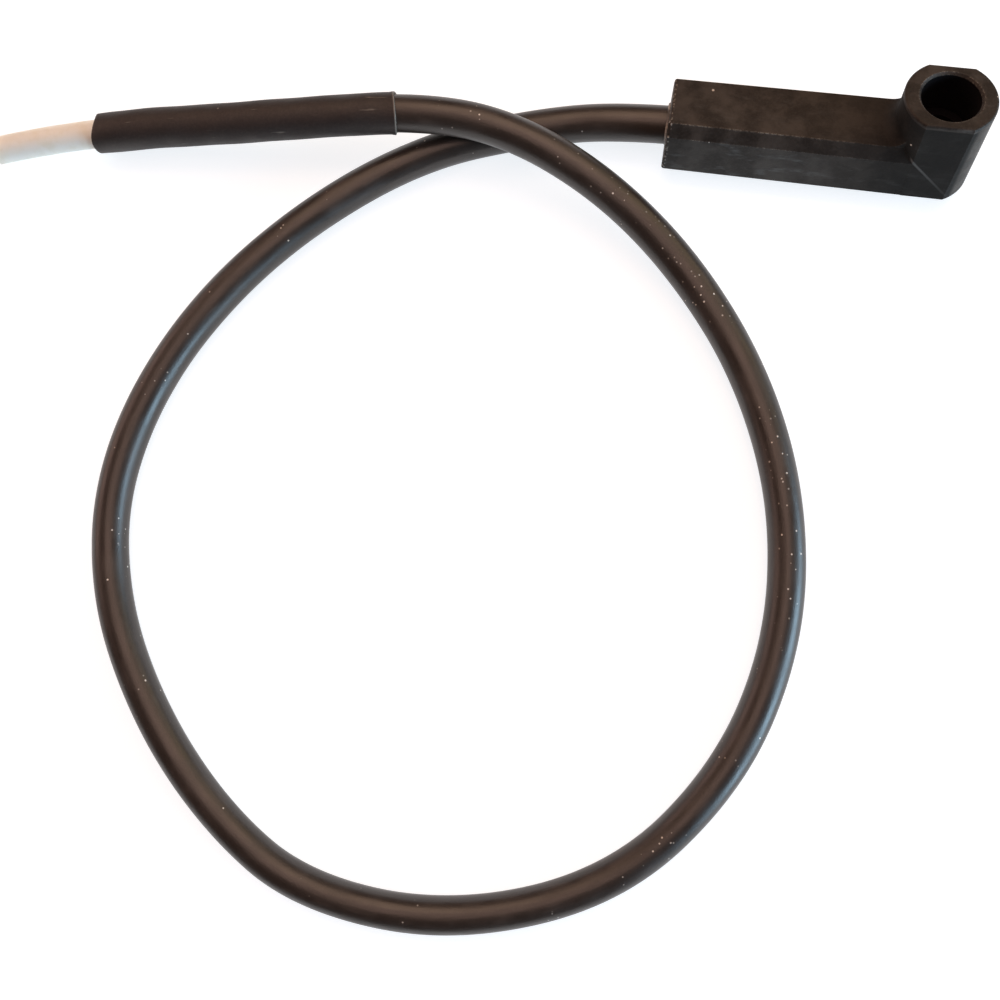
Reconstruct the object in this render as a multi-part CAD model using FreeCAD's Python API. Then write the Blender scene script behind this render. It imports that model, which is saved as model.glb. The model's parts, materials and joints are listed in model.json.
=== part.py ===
import FreeCAD, Part
import math
import os

# Ignition lead with a moulded elbow cap, in millimetres.
#
# The cap lies on the table as it falls when it is put down: its long block runs along X and is rolled
# on its back lower edge, so its tower leans towards +Y. +Z is up and Z = 0 is the table. The origin is
# the middle of the cap's footprint. The cable leaves the cap towards -X, makes one loop on the table
# and crosses over itself to the sleeved plug-in end.

Vector = FreeCAD.Vector

# --- cap, in its own frame: tower axis = Z, block towards -X, block's underside = Z 0 ---
BLOCK_LENGTH = 48.8
BLOCK_HALF_WIDTH = 7.2
BLOCK_HEIGHT = 11.3
END_LEAN = math.tan(math.radians(2.2))
FACET_WIDTH = 1.6
FACET_HEIGHT = 2.2
TOWER_RADIUS = 8.2
TOWER_HEIGHT = 19.25
DRAFT_PER_MM = math.tan(math.radians(0.4))
MITRE = 5.6
INNER_FILLET = 2.2
EDGE_ROUND = 0.5
JOIN_DEPTH = 1.0
THINNEST = 0.01
CAP_PLACE = Vector(20.45, -2.88, 2.083)
CAP_ROLL_DEGREES = 17.8

# --- sockets in the cap's tower ---
ELECTRODE_BORE_RADIUS = 5.3
ELECTRODE_BORE_FLOOR = 10.4
BORE_CHAMFER = 0.4
WELL_RADIUS = 3.7
WELL_FLOOR = 7.6
POCKET_RADIUS = 3.05
POCKET_FLOOR = 2.0

# --- cable and its place in the cap ---
CABLE_RADIUS = 3.5
JACKET_BORE_RADIUS = 2.5
BRAID_RADIUS = 2.45
BRAID_BORE_RADIUS = 2.3
INSULATION_RADIUS = 2.25
CORE_BORE_RADIUS = 0.95
CONDUCTOR_RADIUS = 0.9
CABLE_HEIGHT = 4.8
CABLE_HOLE_RADIUS = 3.55
CABLE_HOLE_DEPTH = 10.2
SEALANT_POCKET_RADIUS = 4.0
SEALANT_POCKET_DEPTH = 1.2
SEALANT_STANDS_OUT = 0.3
SEALANT_GAP = 0.03
CHAMBER_RADIUS = 3.05

# --- resistor train in the cap, along the cable's axis ---
SCREW_HEAD_THICKNESS = 1.2
SCREW_HEAD_RADIUS = 2.4
SCREW_SHANK_RADIUS = 0.85
SCREW_SHANK_LENGTH = 9.0
SCREW_RIDGES = 8
SCREW_ROOT_SHARE = 0.6
SCREW_TAPER = 0.45
RESISTOR_RADIUS = 2.55
RESISTOR_LENGTH = 20.0
RESISTOR_CHAMFER = 0.3
END_CAP_RADIUS = 2.95
END_CAP_LENGTH = 3.5
END_CAP_WALL = 0.35
SPRING_WIRE_RADIUS = 0.3
SPRING_RADIUS = 1.9
SPRING_TURNS = 5
GAP = 0.05

# --- contact socket for the electrode's terminal pin ---
SOCKET_RADIUS = 3.0
SOCKET_TOP = 10.0
PIN_BORE_RADIUS = 2.0
PIN_BORE_FLOOR = 4.2
PIN_BORE_CHAMFER = 0.3
SOCKET_SLOT_WIDTH = 0.6
SOCKET_SLOT_FLOOR = 6.2
SNAP_RING_WIRE = 0.25
SNAP_RING_HEIGHT = 8.8
SNAP_RING_SPLIT = 1.2
SNAP_RING_PLAY = 0.02

# --- pieces at the cable's far end, measured back from the route's end ---
TUBE_RADIUS = 2.75
TUBE_BORE_RADIUS = 2.3
TUBE_LENGTH = 28.0
SLEEVE_RADIUS = 3.9
SLEEVE_BORE_RADIUS = 3.53
SLEEVE_FAR_END = 22.4
SLEEVE_LENGTH = 61.5
SLEEVE_MOUTH_RADIUS = 3.65
SLEEVE_MOUTH_BORE = 2.8
SLEEVE_NECK_LENGTH = 3.0
SLEEVE_NECK_BEND = 0.6
INSULATION_END = 14.5
CONDUCTOR_END = 10.5
RECEPTACLE_RADIUS = 2.1
RECEPTACLE_BORE_RADIUS = 1.25
RECEPTACLE_END = 2.5
RECEPTACLE_BORE_LENGTH = 6.5
RECEPTACLE_WAIST_RADIUS = 1.7
RECEPTACLE_WAIST_LENGTH = 1.2
CRIMP_RADIUS = 1.5
CRIMP_LENGTH = 4.2
CRIMP_CLEARANCE = 0.15
RECEPTACLE_SLOT_WIDTH = 0.4
RECEPTACLE_SLOT_SHARE = 0.6

# --- the cable's route on the table: its corners, in the object's frame ---
FLOOR_HEIGHT = CABLE_RADIUS
HUMP_HEIGHT = 5 * CABLE_RADIUS
ROUTE = [
    Vector(-18.0, -1.4, 6.65),
    Vector(-33.5, -1.4, 6.65),
    Vector(-51.2, -2.8, 3.9),
    Vector(-77.4, -11.6, FLOOR_HEIGHT),
    Vector(-103.0, -32.8, FLOOR_HEIGHT),
    Vector(-119.6, -57.5, FLOOR_HEIGHT),
    Vector(-126.5, -83.3, FLOOR_HEIGHT),
    Vector(-122.5, -106.8, FLOOR_HEIGHT),
    Vector(-110.4, -127.6, FLOOR_HEIGHT),
    Vector(-94.4, -144.0, FLOOR_HEIGHT),
    Vector(-76.3, -154.6, FLOOR_HEIGHT),
    Vector(-47.9, -155.8, FLOOR_HEIGHT),
    Vector(-18.7, -144.1, FLOOR_HEIGHT),
    Vector(-1.0, -121.3, FLOOR_HEIGHT),
    Vector(5.8, -95.9, FLOOR_HEIGHT),
    Vector(3.4, -70.2, FLOOR_HEIGHT),
    Vector(-6.3, -47.0, 4.0),
    Vector(-21.6, -27.9, 7.0),
    Vector(-39.1, -14.9, 12.5),
    Vector(-58.7, -6.9, HUMP_HEIGHT),
    Vector(-77.5, -5.9, HUMP_HEIGHT),
    Vector(-103.8, -9.8, 12.0),
    Vector(-145.7, -15.2, 4.9),
    Vector(-162.5, -19.9, 2.8),
]
ARC_SHARE = 0.45

X_AXIS = Vector(1, 0, 0)
Y_AXIS = Vector(0, 1, 0)
Z_AXIS = Vector(0, 0, 1)


def cap_placement():
    """Where the cap's own frame lies in the object's frame."""
    return FreeCAD.Placement(CAP_PLACE, FreeCAD.Rotation(X_AXIS, -CAP_ROLL_DEGREES))


def in_place(shape):
    """Moves a shape from the cap's own frame to the object's frame."""
    placed = shape.copy()
    placed.Placement = cap_placement().multiply(placed.Placement)
    return placed


def revolved(profile, origin, axis, across):
    """Turns a closed profile of (along, radius) points about an axis through the origin."""
    corners = [origin + axis * along + across * radius for along, radius in profile]
    face = Part.Face(Part.makePolygon(corners + corners[:1]))
    return face.revolve(origin, axis, 360)


def on_cable_axis(profile, start):
    """Turns a profile of (distance towards the tower, radius) points about the cable's axis in the cap."""
    return revolved(profile, Vector(start, 0, CABLE_HEIGHT), X_AXIS, Z_AXIS)


def on_tower_axis(profile):
    """Turns a profile of (height, radius) points about the tower's axis."""
    return revolved(profile, Vector(0, 0, 0), Z_AXIS, X_AXIS)


# --- cap body ---

def block_section(x, lean):
    """The block's outline at one distance along it: a rectangle with two bevelled upper edges.

    It may lean, so that its upper edges are nearer the tower, and it narrows away from the tower.
    """
    shoulder = BLOCK_HEIGHT - FACET_HEIGHT
    outline = [
        (-1, 0, 0),
        (1, 0, 0),
        (1, 0, shoulder),
        (1, FACET_WIDTH, BLOCK_HEIGHT),
        (-1, FACET_WIDTH, BLOCK_HEIGHT),
        (-1, 0, shoulder),
    ]
    corners = []
    for side, inset, z in outline:
        along = x + lean * (z - CABLE_HEIGHT)
        corners.append(Vector(along, side * (BLOCK_HALF_WIDTH + DRAFT_PER_MM * along - inset), z))
    return Part.makePolygon(corners + corners[:1])


def tower_slab_section(z):
    """The distance across the tower's two flats at one height, as a rectangle."""
    half = BLOCK_HALF_WIDTH + DRAFT_PER_MM * (MITRE - z)
    reach = 2 * TOWER_RADIUS
    outline = [(-reach, -half), (reach, -half), (reach, half), (-reach, half)]
    corners = [Vector(x, y, z) for x, y in outline]
    return Part.makePolygon(corners + corners[:1])


def cap_block():
    """The long arm: drafted towards the cable's end, with its edges rounded off."""
    block = Part.makeLoft([block_section(-BLOCK_LENGTH, END_LEAN), block_section(0, 0)], True, True)
    left_edges = [e for e in block.Edges if e.BoundBox.XMax < -BLOCK_LENGTH / 2]
    lower_edges = [e for e in block.Edges if e.BoundBox.ZMax < THINNEST and e.BoundBox.XLength > BLOCK_LENGTH / 2]
    return block.makeFillet(EDGE_ROUND, left_edges + lower_edges)


def cap_tower():
    """The short arm: a round post with a slightly tapered flat on each side."""
    post = Part.makeCylinder(TOWER_RADIUS, TOWER_HEIGHT)
    slab = Part.makeLoft([tower_slab_section(0), tower_slab_section(TOWER_HEIGHT)], True, True)
    tower = post.common(slab)
    outer_edges = [e for e in tower.Edges if e.BoundBox.ZLength < THINNEST]
    return tower.makeFillet(EDGE_ROUND, outer_edges)


def cap_inner_fillet():
    """The hollow corner between the block's top face and the tower, as a ring that the facets end."""
    wall = TOWER_RADIUS - JOIN_DEPTH
    outer = TOWER_RADIUS + INNER_FILLET
    foot = Vector(outer, 0, BLOCK_HEIGHT)
    head = Vector(outer - INNER_FILLET, 0, BLOCK_HEIGHT + INNER_FILLET)
    bend = INNER_FILLET * (1 - math.sqrt(0.5))
    middle = Vector(outer - INNER_FILLET + bend, 0, BLOCK_HEIGHT + bend)
    heel = Vector(outer, 0, BLOCK_HEIGHT - JOIN_DEPTH)
    root = Vector(wall, 0, BLOCK_HEIGHT - JOIN_DEPTH)
    shoulder = Vector(wall, 0, BLOCK_HEIGHT + INNER_FILLET)
    edges = [
        Part.Arc(foot, middle, head).toShape(),
        Part.LineSegment(head, shoulder).toShape(),
        Part.LineSegment(shoulder, root).toShape(),
        Part.LineSegment(root, heel).toShape(),
        Part.LineSegment(heel, foot).toShape(),
    ]
    ring = Part.Face(Part.Wire(edges)).revolve(Vector(0, 0, 0), Z_AXIS, 360)
    half = BLOCK_HALF_WIDTH - FACET_WIDTH - DRAFT_PER_MM * TOWER_RADIUS
    keep = Part.makeBox(
        2 * TOWER_RADIUS, 2 * half, BLOCK_HEIGHT, Vector(-2 * TOWER_RADIUS, -half, BLOCK_HEIGHT - JOIN_DEPTH)
    )
    return ring.common(keep)


def cap_cavities():
    """Everything hollow in the cap: the tower's stepped bore, the resistor's chamber and the cable's hole."""
    top = TOWER_HEIGHT
    tower_bore = on_tower_axis([
        (POCKET_FLOOR, 0),
        (POCKET_FLOOR, POCKET_RADIUS),
        (WELL_FLOOR, POCKET_RADIUS),
        (WELL_FLOOR, WELL_RADIUS),
        (ELECTRODE_BORE_FLOOR, WELL_RADIUS),
        (ELECTRODE_BORE_FLOOR, ELECTRODE_BORE_RADIUS),
        (top - BORE_CHAMFER, ELECTRODE_BORE_RADIUS),
        (top + BORE_CHAMFER, ELECTRODE_BORE_RADIUS + 2 * BORE_CHAMFER),
        (top + BORE_CHAMFER, 0),
    ])
    chamber = on_cable_axis([
        (-1, 0),
        (-1, SEALANT_POCKET_RADIUS),
        (SEALANT_POCKET_DEPTH, SEALANT_POCKET_RADIUS),
        (SEALANT_POCKET_DEPTH, CABLE_HOLE_RADIUS),
        (CABLE_HOLE_DEPTH, CABLE_HOLE_RADIUS),
        (CABLE_HOLE_DEPTH, CHAMBER_RADIUS),
        (BLOCK_LENGTH, CHAMBER_RADIUS),
        (BLOCK_LENGTH, 0),
    ], -BLOCK_LENGTH)
    return tower_bore.fuse(chamber)


def cap_body():
    """The moulded elbow."""
    solid = cap_block().fuse([cap_tower(), cap_inner_fillet()])
    return solid.cut(cap_cavities()).removeSplitter()


# --- pieces inside the cap ---

def chamber_x():
    """Where each piece of the resistor train starts along X, from the cable's end to the tower."""
    screw_head = -BLOCK_LENGTH + CABLE_HOLE_DEPTH + GAP
    cable_cap = screw_head + SCREW_HEAD_THICKNESS + GAP
    resistor = cable_cap + END_CAP_WALL + GAP
    tower_cap = resistor + RESISTOR_LENGTH + GAP + END_CAP_WALL
    spring = tower_cap + GAP
    return {"head": screw_head, "cap": cable_cap, "resistor": resistor, "far": tower_cap, "spring": spring}


def cable_screw():
    """The pointed screw that bites into the cable's core, with a flat head that touches the resistor."""
    profile = [(SCREW_HEAD_THICKNESS, 0), (SCREW_HEAD_THICKNESS, SCREW_HEAD_RADIUS), (0, SCREW_HEAD_RADIUS)]
    pitch = SCREW_SHANK_LENGTH / (SCREW_RIDGES + 1)
    for ridge in range(SCREW_RIDGES):
        root = -pitch * (ridge + 1 / 4)
        crest = -pitch * (ridge + 3 / 4)
        radius = SCREW_SHANK_RADIUS * (1 - SCREW_TAPER * ridge / SCREW_RIDGES)
        profile.append((root, SCREW_ROOT_SHARE * radius))
        profile.append((crest, radius))
    profile.append((-SCREW_SHANK_LENGTH, 0))
    return on_cable_axis(profile, chamber_x()["head"])


def resistor_body():
    """The ceramic rod of the suppression resistor, with chamfered ends."""
    profile = [
        (0, 0),
        (0, RESISTOR_RADIUS - RESISTOR_CHAMFER),
        (RESISTOR_CHAMFER, RESISTOR_RADIUS),
        (RESISTOR_LENGTH - RESISTOR_CHAMFER, RESISTOR_RADIUS),
        (RESISTOR_LENGTH, RESISTOR_RADIUS - RESISTOR_CHAMFER),
        (RESISTOR_LENGTH, 0),
    ]
    return on_cable_axis(profile, chamber_x()["resistor"])


def resistor_end_cap(start, opens):
    """A brass cup over one end of the resistor. It opens towards the tower for 1, away from it for -1."""
    inner = END_CAP_RADIUS - END_CAP_WALL
    profile = [
        (0, 0),
        (0, END_CAP_RADIUS),
        (opens * END_CAP_LENGTH, END_CAP_RADIUS),
        (opens * END_CAP_LENGTH, inner),
        (opens * END_CAP_WALL, inner),
        (opens * END_CAP_WALL, 0),
    ]
    return on_cable_axis(profile, start)


def contact_spring():
    """The spring that presses the resistor's cap and the contact socket apart, one closed turn at each end."""
    start = chamber_x()["spring"] + SPRING_WIRE_RADIUS
    end = -SOCKET_RADIUS - GAP - SPRING_WIRE_RADIUS
    length = end - start
    helix = Part.makeHelix(length / SPRING_TURNS, length, SPRING_RADIUS)
    wire = Part.Wire(Part.makeCircle(SPRING_WIRE_RADIUS, Vector(SPRING_RADIUS, 0, 0), Y_AXIS))
    coil = Part.Wire(helix).makePipeShell([wire], True, True)
    coil.rotate(Vector(0, 0, 0), Y_AXIS, 90)
    coil.translate(Vector(start, 0, CABLE_HEIGHT))
    return coil


def contact_socket():
    """The turned brass socket: a blind pin bore, two slots that make it springy, and a ring groove."""
    body = on_tower_axis([
        (POCKET_FLOOR + GAP, 0),
        (POCKET_FLOOR + GAP, SOCKET_RADIUS),
        (SNAP_RING_HEIGHT - SNAP_RING_WIRE, SOCKET_RADIUS),
        (SNAP_RING_HEIGHT - SNAP_RING_WIRE, SOCKET_RADIUS - SNAP_RING_WIRE),
        (SNAP_RING_HEIGHT + SNAP_RING_WIRE, SOCKET_RADIUS - SNAP_RING_WIRE),
        (SNAP_RING_HEIGHT + SNAP_RING_WIRE, SOCKET_RADIUS),
        (SOCKET_TOP, SOCKET_RADIUS),
        (SOCKET_TOP, PIN_BORE_RADIUS + PIN_BORE_CHAMFER),
        (SOCKET_TOP - PIN_BORE_CHAMFER, PIN_BORE_RADIUS),
        (PIN_BORE_FLOOR, PIN_BORE_RADIUS),
        (PIN_BORE_FLOOR, 0),
    ])
    slot = Part.makeBox(
        2 * TOWER_RADIUS,
        SOCKET_SLOT_WIDTH,
        SOCKET_TOP,
        Vector(-TOWER_RADIUS, -SOCKET_SLOT_WIDTH / 2, SOCKET_SLOT_FLOOR),
    )
    return body.cut(slot)


def socket_snap_ring():
    """The split wire ring in the socket's groove, which closes its two halves on the pin."""
    wire = SNAP_RING_WIRE - SNAP_RING_PLAY
    ring = Part.makeTorus(SOCKET_RADIUS, wire, Vector(0, 0, SNAP_RING_HEIGHT))
    split = Part.makeBox(SNAP_RING_SPLIT, TOWER_RADIUS, 4 * wire, Vector(0, 0, SNAP_RING_HEIGHT - 2 * wire))
    return ring.cut(split)


def entry_sealant():
    """The ring of sealant around the cable where it goes into the cap."""
    inner = CABLE_RADIUS + SEALANT_GAP
    outer = SEALANT_POCKET_RADIUS - SEALANT_GAP
    return on_cable_axis([
        (SEALANT_POCKET_DEPTH - GAP, inner),
        (SEALANT_POCKET_DEPTH - GAP, outer),
        (0, outer),
        (-SEALANT_STANDS_OUT, (inner + outer) / 2),
        (0, inner),
    ], -BLOCK_LENGTH)


# --- the cable ---

def unit(vector):
    """The vector at a length of one."""
    return vector * (1 / vector.Length)


def route_edges():
    """The route as straight runs joined by tangent arcs, with each arc's radius."""
    edges = []
    radii = []
    here = ROUTE[0]
    for before, corner, after in zip(ROUTE, ROUTE[1:], ROUTE[2:]):
        back = unit(before - corner)
        on = unit(after - corner)
        half_turn = (math.pi - back.getAngle(on)) / 2
        reach = ARC_SHARE * min((before - corner).Length, (after - corner).Length)
        radius = reach / math.tan(half_turn)
        start = corner + back * reach
        end = corner + on * reach
        inward = unit(back + on)
        middle = corner + inward * (radius / math.cos(half_turn) - radius)
        edges.append(Part.LineSegment(here, start).toShape())
        edges.append(Part.Arc(start, middle, end).toShape())
        radii.append(radius)
        here = end
    edges.append(Part.LineSegment(here, ROUTE[-1]).toShape())
    return edges, radii


def stretch_of(edges, start, end):
    """The edges between two distances along the route, the first and last of them cut to length."""
    pieces = []
    passed = 0.0
    for edge in edges:
        low = max(start - passed, 0.0)
        high = min(end - passed, edge.Length)
        if high - low > THINNEST:
            first = edge.getParameterByLength(low)
            last = edge.getParameterByLength(high)
            pieces.append(edge.Curve.toShape(first, last))
        passed += edge.Length
    return pieces


def rod_along(edges, radius):
    """A round rod that follows a stretch of the route."""
    first = edges[0]
    start = first.valueAt(first.FirstParameter)
    direction = first.tangentAt(first.FirstParameter)
    profile = Part.Wire(Part.makeCircle(radius, start, direction))
    return Part.Wire(edges).makePipeShell([profile], True, False)


def tube_along(edges, outer, inner):
    """A round tube that follows a stretch of the route."""
    return rod_along(edges, outer).cut(rod_along(edges, inner))


def route_length(edges):
    """The route's whole length."""
    return sum(edge.Length for edge in edges)


def far_end(profile, edges, distance):
    """Turns a profile about the route's own direction at a distance back from its far end.

    The profile's points are (distance towards the far end, radius).
    """
    last = stretch_of(edges, 0, route_length(edges) - distance)[-1]
    place = last.valueAt(last.LastParameter)
    forward = unit(last.tangentAt(last.LastParameter))
    across = unit(forward.cross(Z_AXIS))
    return revolved(profile, place, forward, across)


def cable_jacket(edges):
    """The black outer jacket."""
    end = route_length(edges) - TUBE_LENGTH - GAP
    return tube_along(stretch_of(edges, 0, end), CABLE_RADIUS, JACKET_BORE_RADIUS)


def cable_braid(edges):
    """The thin glass-fibre braid between the jacket and the insulation."""
    end = route_length(edges) - TUBE_LENGTH - GAP
    return tube_along(stretch_of(edges, 0, end), BRAID_RADIUS, BRAID_BORE_RADIUS)


def cable_insulation(edges):
    """The high-voltage insulation under the braid."""
    end = route_length(edges) - INSULATION_END
    return tube_along(stretch_of(edges, 0, end), INSULATION_RADIUS, CORE_BORE_RADIUS)


def cable_conductor(edges):
    """The conductor, from the screw's point to the crimp."""
    start = SCREW_SHANK_LENGTH + 2 * GAP
    end = route_length(edges) - CONDUCTOR_END
    return rod_along(stretch_of(edges, start, end), CONDUCTOR_RADIUS)


def shrink_sleeve(edges):
    """The shrunk sleeve over the cable's end, drawn in at its mouth onto the tube."""
    total = route_length(edges)
    start = total - SLEEVE_FAR_END - SLEEVE_LENGTH
    neck = total - SLEEVE_FAR_END - SLEEVE_NECK_LENGTH
    body = tube_along(stretch_of(edges, start, neck), SLEEVE_RADIUS, SLEEVE_BORE_RADIUS)
    mouth = far_end([
        (0, SLEEVE_BORE_RADIUS),
        (0, SLEEVE_RADIUS),
        (SLEEVE_NECK_BEND * SLEEVE_NECK_LENGTH, SLEEVE_RADIUS),
        (SLEEVE_NECK_LENGTH, SLEEVE_MOUTH_RADIUS),
        (SLEEVE_NECK_LENGTH, SLEEVE_MOUTH_BORE),
        ((1 - SLEEVE_NECK_BEND) * SLEEVE_NECK_LENGTH, SLEEVE_MOUTH_BORE),
    ], edges, SLEEVE_FAR_END + SLEEVE_NECK_LENGTH)
    return body.fuse(mouth)


def terminal_tube(edges):
    """The pale tube that covers the bared end and its receptacle."""
    total = route_length(edges)
    return tube_along(stretch_of(edges, total - TUBE_LENGTH, total), TUBE_RADIUS, TUBE_BORE_RADIUS)


def receptacle(edges):
    """The crimped round receptacle: a slotted spring barrel, a waist and a crimp barrel."""
    bore = RECEPTACLE_BORE_LENGTH
    crimp_start = bore + RECEPTACLE_WAIST_LENGTH
    crimp_end = crimp_start + CRIMP_LENGTH
    body = far_end([
        (0, RECEPTACLE_BORE_RADIUS),
        (0, RECEPTACLE_RADIUS),
        (-bore, RECEPTACLE_RADIUS),
        (-crimp_start, RECEPTACLE_WAIST_RADIUS),
        (-crimp_end, CRIMP_RADIUS),
        (-crimp_end, CONDUCTOR_RADIUS + CRIMP_CLEARANCE),
        (-crimp_start, CONDUCTOR_RADIUS + CRIMP_CLEARANCE),
        (-crimp_start, 0),
        (-bore, 0),
        (-bore, RECEPTACLE_BORE_RADIUS),
    ], edges, RECEPTACLE_END)
    last = edges[-1]
    mouth = last.valueAt(last.LastParameter - RECEPTACLE_END)
    forward = unit(last.tangentAt(last.LastParameter))
    slot_length = RECEPTACLE_SLOT_SHARE * bore
    slot = Part.makeBox(slot_length, 2 * RECEPTACLE_RADIUS, RECEPTACLE_SLOT_WIDTH)
    slot.translate(Vector(-slot_length, 0, -RECEPTACLE_SLOT_WIDTH / 2))
    slot.Placement = FreeCAD.Placement(mouth, FreeCAD.Rotation(X_AXIS, forward)).multiply(slot.Placement)
    return body.cut(slot)


def report_route(edges, radii, tube):
    """Prints the route's length, its radii, and the jacket's volume beside section times length."""
    section = math.pi * (CABLE_RADIUS ** 2 - JACKET_BORE_RADIUS ** 2)
    length = route_length(edges) - TUBE_LENGTH - GAP
    runs = [(b - a).Length for a, b in zip(ROUTE, ROUTE[1:])]
    print("route length", round(route_length(edges), 2))
    print("runs", [round(run, 1) for run in runs])
    print("arc radii", [round(radius, 1) for radius in radii])
    print("jacket volume", round(tube.Volume, 1), "section x length", round(section * length, 1))


def report_cap(pieces):
    """Prints the box of the cap's own pieces, whose bottom centre is the origin, and the mounts."""
    box = FreeCAD.BoundBox()
    for piece in pieces:
        box.add(piece.optimalBoundingBox(False))
    print("cap box middle", round(box.Center.x, 3), round(box.Center.y, 3), "lowest", round(box.ZMin, 3))
    place = cap_placement()
    print("tower axis", place.Rotation.multVec(Z_AXIS))
    print("electrode bore", place.multVec(Vector(0, 0, (ELECTRODE_BORE_FLOOR + TOWER_HEIGHT - BORE_CHAMFER) / 2)))
    print("pin bore", place.multVec(Vector(0, 0, (PIN_BORE_FLOOR + SOCKET_TOP - PIN_BORE_CHAMFER) / 2)))
    print("cable exit", place.multVec(Vector(-BLOCK_LENGTH, 0, CABLE_HEIGHT)))


def report_far_end(edges):
    """Prints where the receptacle's bore is and which way it opens."""
    last = edges[-1]
    forward = unit(last.tangentAt(last.LastParameter))
    middle = ROUTE[-1] - forward * (RECEPTACLE_END + RECEPTACLE_BORE_LENGTH / 2)
    print("receptacle bore", middle, "opens", forward)


def main():
    """Builds every piece and writes one file for each."""
    edges, radii = route_edges()
    starts = chamber_x()
    cap_pieces = {
        "cap_body": cap_body(),
        "contact_socket": contact_socket(),
        "socket_snap_ring": socket_snap_ring(),
        "contact_spring": contact_spring(),
        "resistor_body": resistor_body(),
        "resistor_cap_cable_side": resistor_end_cap(starts["cap"], 1),
        "resistor_cap_tower_side": resistor_end_cap(starts["far"], -1),
        "cable_screw": cable_screw(),
        "entry_sealant": entry_sealant(),
    }
    pieces = {name: in_place(shape) for name, shape in cap_pieces.items()}
    report_cap(pieces.values())
    pieces["cable_jacket"] = cable_jacket(edges)
    pieces["cable_braid"] = cable_braid(edges)
    pieces["cable_insulation"] = cable_insulation(edges)
    pieces["cable_conductor"] = cable_conductor(edges)
    pieces["shrink_sleeve"] = shrink_sleeve(edges)
    pieces["terminal_tube"] = terminal_tube(edges)
    pieces["receptacle"] = receptacle(edges)
    report_route(edges, radii, pieces["cable_jacket"])
    report_far_end(edges)
    os.makedirs("parts", exist_ok=True)
    for name, shape in pieces.items():
        print(name, "solids", len(shape.Solids), "valid", shape.isValid(), "volume", round(shape.Volume, 2))
        shape.exportStep("parts/" + name + ".step")


main()
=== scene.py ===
import json
import logging
import math
from dataclasses import dataclass, field
from enum import Enum
from typing import Callable, Protocol, Sequence

import bpy
import numpy as np
from mathutils import Euler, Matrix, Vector

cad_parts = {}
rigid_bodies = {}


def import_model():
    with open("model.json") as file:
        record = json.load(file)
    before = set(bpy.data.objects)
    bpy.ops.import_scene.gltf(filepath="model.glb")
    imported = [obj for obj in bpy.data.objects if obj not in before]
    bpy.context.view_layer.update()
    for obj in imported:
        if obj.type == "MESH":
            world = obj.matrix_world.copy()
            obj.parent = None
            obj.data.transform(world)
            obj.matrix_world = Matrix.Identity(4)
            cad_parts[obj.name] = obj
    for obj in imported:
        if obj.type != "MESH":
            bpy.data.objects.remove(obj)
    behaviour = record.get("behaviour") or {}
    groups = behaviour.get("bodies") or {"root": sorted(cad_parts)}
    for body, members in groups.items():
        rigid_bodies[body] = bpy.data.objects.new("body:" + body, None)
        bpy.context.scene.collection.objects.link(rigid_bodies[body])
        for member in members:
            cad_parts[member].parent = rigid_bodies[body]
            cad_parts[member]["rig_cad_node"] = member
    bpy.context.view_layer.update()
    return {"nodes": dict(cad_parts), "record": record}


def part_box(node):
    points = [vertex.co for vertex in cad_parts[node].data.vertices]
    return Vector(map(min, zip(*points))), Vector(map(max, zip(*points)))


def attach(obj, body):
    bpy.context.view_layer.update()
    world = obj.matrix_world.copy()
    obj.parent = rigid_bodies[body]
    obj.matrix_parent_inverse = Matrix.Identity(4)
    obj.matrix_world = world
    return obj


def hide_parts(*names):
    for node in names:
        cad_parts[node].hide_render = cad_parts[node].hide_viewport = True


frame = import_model()

LOG = logging.getLogger("ignition_lead")
MM = 0.001
BODY = "root"

Triple = tuple[float, float, float]
Colour = Triple
Profile = list[tuple[float, float]]
Socket = bpy.types.NodeSocket
Source = Socket | float | Triple
Shape = Callable[[float, float], float]

ALONG_CABLE: Triple = (1.0, 0.0, 0.0)
ALONG_CAP: Triple = (1.0, 0.0, 0.0)
NOWHERE: Triple = (0.0, 0.0, 0.0)


class Slot(Enum):
    """The record's material slots."""

    CAP = "cap_moulding"
    BRASS = "brass"
    STEEL = "spring_steel"
    CERAMIC = "ceramic"
    SEALANT = "sealant"
    JACKET = "jacket_silicone"
    BRAID = "glass_braid"
    INSULATION = "insulation_silicone"
    COPPER = "copper_strand"
    SLEEVE = "shrink_tubing"
    TUBE = "pale_silicone"


class Space(Enum):
    """Where a pattern's coordinates come from."""

    OBJECT = "object"
    STRAIGHTENED = "laid_straight"


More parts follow.
